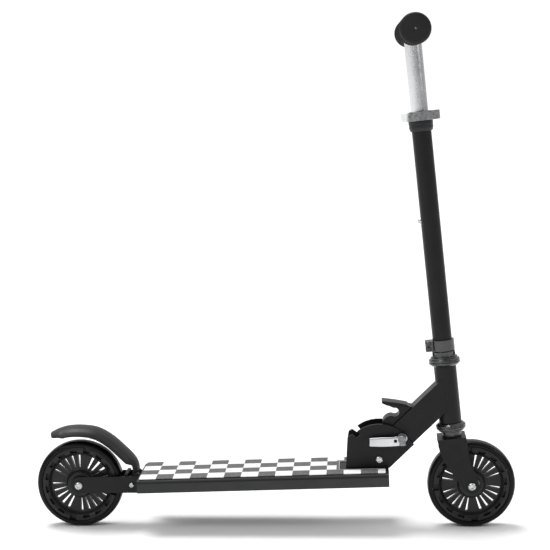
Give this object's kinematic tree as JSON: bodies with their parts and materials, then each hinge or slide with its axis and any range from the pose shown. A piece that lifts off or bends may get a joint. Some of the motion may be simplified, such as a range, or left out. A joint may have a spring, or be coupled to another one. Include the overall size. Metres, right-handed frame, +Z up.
{
  "type": "kick scooter",
  "caption": "Folding child's kick scooter: chequered deck, small solid wheels, rear fender brake, fold hinge with hook and clamp, height-adjustable handlebar.",
  "frame": {"origin": "on the floor, midway between the axles, on the middle plane: the bottom centre of the bounding box", "axes": "+X forwards, +Y to the scooter's left along the handlebar, +Z up"},
  "size_m": [0.6596, 0.3, 0.6939],
  "materials": {
    "satin_black": "satin black powder coat on steel",
    "deck_grey": "dark grey powder coat",
    "grip_tape": "grit tape printed with a white and grey chequer",
    "bright_alloy": "drawn and polished",
    "zinc_steel": "zinc plated",
    "black_rubber": "matt moulded",
    "tyre": "cast polyurethane, soft gloss",
    "hub_plastic": "moulded black",
    "fender_plastic": "moulded dark grey"
  },
  "bodies": {
    "deck": {"deck_shell": "deck_grey", "grip_tape": "grip_tape", "fold_bracket": "satin_black", "bracket_bolt_rear": "zinc_steel", "bracket_bolt_front": "zinc_steel", "fold_pivot_bolt": "zinc_steel", "fold_pivot_nut": "zinc_steel", "fold_skewer": "zinc_steel", "fold_skewer_nut": "zinc_steel", "tail_bracket": "satin_black", "tail_brace": "deck_grey", "fender_pin": "zinc_steel", "fender_pin_nut": "zinc_steel", "fender_spring": "zinc_steel", "rear_axle_bolt": "zinc_steel", "rear_axle_nut": "zinc_steel", "rear_spacer_right": "zinc_steel", "rear_spacer_left": "zinc_steel"},
    "rear_wheel": {"rear_tyre": "tyre", "rear_hub": "hub_plastic", "rear_bearing_right": "zinc_steel", "rear_bearing_left": "zinc_steel"},
    "fender": {"fender": "fender_plastic", "brake_pad": "black_rubber"},
    "fold_lever": {"fold_lever": "bright_alloy"},
    "front_frame": {"neck_tube": "satin_black", "head_tube": "satin_black", "headset_cup_upper": "satin_black", "headset_cup_lower": "satin_black", "headset_bearing_upper": "zinc_steel", "headset_bearing_lower": "zinc_steel"},
    "release_hook": {"release_hook": "satin_black"},
    "steering": {"fork": "satin_black", "fork_steerer": "zinc_steel", "crown_race": "satin_black", "headset_locknut": "satin_black", "lower_tube": "satin_black", "lower_clamp": "satin_black", "lower_clamp_bolt_low": "satin_black", "lower_clamp_bolt_high": "satin_black", "tube_bush": "hub_plastic", "height_clamp": "bright_alloy", "height_clamp_bolt": "zinc_steel", "height_clamp_nut": "zinc_steel", "button_spring": "zinc_steel", "front_axle_bolt": "zinc_steel", "front_axle_nut": "zinc_steel", "front_spacer_right": "zinc_steel", "front_spacer_left": "zinc_steel"},
    "front_wheel": {"front_tyre": "tyre", "front_hub": "hub_plastic", "front_bearing_right": "zinc_steel", "front_bearing_left": "zinc_steel"},
    "height_lever": {"height_clamp_lever": "bright_alloy"},
    "height_button": {"height_button": "zinc_steel"},
    "handlebar": {"upper_tube": "bright_alloy", "handlebar": "bright_alloy", "grip_left": "black_rubber", "grip_right": "black_rubber"}
  },
  "joints": [
    {"name": "rear_wheel_spin", "type": "hinge", "parent": "deck", "child": "rear_wheel", "pos_m": [-0.2698, 0, 0.06], "axis": [0, 1, 0], "continuous": true},
    {"name": "fender_press", "type": "hinge", "parent": "deck", "child": "fender", "pos_m": [-0.1963, 0, 0.0612], "axis": [0, -1, 0], "range_deg": [0, 4.2], "stiffness_Nm_per_rad": 1.5, "springref_deg": -17.19},
    {"name": "fold_lever_swing", "type": "hinge", "parent": "deck", "child": "fold_lever", "pos_m": [0.17525, -0.0262, 0.12648], "axis": [0, 0, 1], "range_deg": [0, 90]},
    {"name": "fold", "type": "hinge", "parent": "deck", "child": "front_frame", "pos_m": [0.1441, 0, 0.0964], "axis": [0, -1, 0], "range_deg": [0, 86.6]},
    {"name": "hook_pull", "type": "slide", "parent": "front_frame", "child": "release_hook", "axis": [0.7193, 0, 0.6947], "range_m": [0, 0.008], "stiffness_N_per_m": 300, "springref_m": -0.005},
    {"name": "steering_turn", "type": "hinge", "parent": "front_frame", "child": "steering", "pos_m": [0.2559, 0, 0], "axis": [-0.0971, 0, 0.9953], "range_deg": [-60, 60]},
    {"name": "front_wheel_spin", "type": "hinge", "parent": "steering", "child": "front_wheel", "pos_m": [0.2698, 0, 0.06], "axis": [0, 1, 0], "continuous": true},
    {"name": "handlebar_height", "type": "slide", "parent": "steering", "child": "handlebar", "axis": [-0.0971, 0, 0.9953], "range_m": [-0.07, 0.06]},
    {"name": "height_lever_swing", "type": "hinge", "parent": "steering", "child": "height_lever", "pos_m": [0.22157, -0.0174, 0.56423], "axis": [-0.0971, 0, 0.9953], "range_deg": [0, 110]},
    {"name": "button_press", "type": "slide", "parent": "steering", "child": "height_button", "axis": [0.9953, 0, 0.0971], "range_m": [0, 0.003], "stiffness_N_per_m": 800, "springref_m": -0.003, "deforming": ["button_spring"]}
  ]
}
